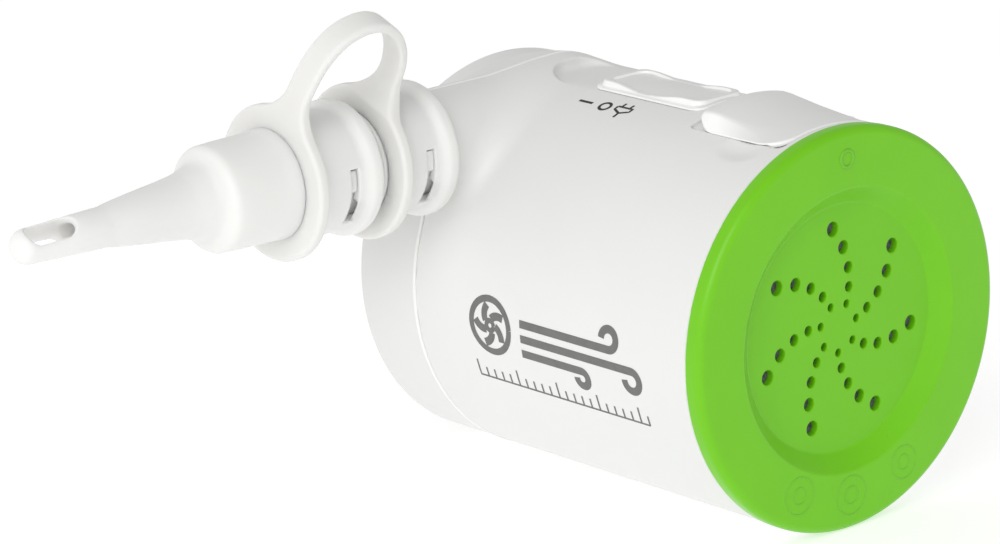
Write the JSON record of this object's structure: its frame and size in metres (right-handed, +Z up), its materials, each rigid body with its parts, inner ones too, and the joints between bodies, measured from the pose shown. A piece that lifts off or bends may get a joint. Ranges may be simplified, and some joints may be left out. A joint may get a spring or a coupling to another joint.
{
  "type": "electric air mattress pump",
  "caption": "Hand-held rechargeable air pump: round white body, green perforated air inlet, side outlet with two bayonet nozzles on a tether, sliding switch and charging port cover.",
  "frame": {"origin": "centre of the bounding box, at its bottom, on the surface that the pump lies on", "axes": "+X along the pump axis towards the green air inlet, -Y along the nozzles towards their tip, +Z up, with the switch on top"},
  "size_m": [0.1072, 0.188, 0.1107],
  "materials": {
    "shell_white": "satin light grey-white moulded ABS",
    "cover_green": "satin lime green moulded ABS",
    "nozzle_white": "soft satin white polyethylene",
    "button_white": "glossy white moulded ABS",
    "filter_foam": "open grey foam",
    "inner_plastic": "plain grey moulded plastic",
    "black_plastic": "black moulded plastic",
    "impeller_plastic": "plain white moulded plastic",
    "steel": "zinc plated steel",
    "magnet": "dark sintered ferrite",
    "laminations": "stacked steel sheets",
    "copper": "enamelled copper wire",
    "bronze": "oil-filled bronze",
    "brass": "tinned brass",
    "cell_wrap": "blue shrink wrap",
    "wire_red": "red insulation",
    "wire_black": "black insulation",
    "board_green": "green solder mask",
    "lamp_red": "clear red lens"
  },
  "bodies": {
    "pump_body": {"front_housing": "shell_white", "rear_cover": "shell_white", "inlet_cover": "cover_green", "inlet_filter": "filter_foam", "cover_screws": "steel", "scroll_case": "inner_plastic", "scroll_lid": "inner_plastic", "outlet_spigot": "shell_white", "nozzle_tether": "nozzle_white", "motor_can": "steel", "motor_end_cap": "black_plastic", "motor_bushes": "bronze", "motor_magnets": "magnet", "motor_brushes": "brass", "motor_terminals": "brass", "motor_screws": "steel", "battery_cells": "cell_wrap", "battery_tray": "black_plastic", "battery_strips": "steel", "battery_leads": "wire_red", "motor_leads": "wire_black", "circuit_board": "board_green", "board_chips": "black_plastic", "board_screws": "steel", "charge_socket": "steel", "charge_lamp": "lamp_red", "switch_body": "black_plastic", "port_cover_pin": "steel"},
    "rotor": {"motor_shaft": "steel", "impeller": "impeller_plastic", "motor_armature": "laminations", "motor_windings": "copper", "commutator": "copper"},
    "nozzle_adaptor": {"nozzle_adaptor": "nozzle_white"},
    "tip_nozzle": {"tip_nozzle": "nozzle_white"},
    "switch_slider": {"switch_knob": "button_white", "switch_clip": "inner_plastic", "switch_lever": "black_plastic"},
    "port_flap": {"port_cover": "button_white"}
  },
  "joints": [
    {"name": "impeller_spin", "type": "hinge", "parent": "pump_body", "child": "rotor", "pos_m": [-0.03665, 0.051, 0.043], "axis": [1, 0, 0], "continuous": true},
    {"name": "nozzle_adaptor_twist", "type": "hinge", "parent": "pump_body", "child": "nozzle_adaptor", "pos_m": [-0.03465, 0.001, 0.0755], "axis": [0, -1, 0], "range_deg": [0, 36]},
    {"name": "tip_nozzle_twist", "type": "hinge", "parent": "nozzle_adaptor", "child": "tip_nozzle", "pos_m": [-0.03465, -0.019, 0.0755], "axis": [0, -1, 0], "range_deg": [0, 36]},
    {"name": "switch_slide", "type": "slide", "parent": "pump_body", "child": "switch_slider", "axis": [-1, 0, 0], "range_m": [0, 0.0116]},
    {"name": "port_cover_hinge", "type": "hinge", "parent": "pump_body", "child": "port_flap", "pos_m": [0.03235, 0.06475, 0.08184], "axis": [-1, 0, 0], "range_deg": [0, 90]}
  ]
}
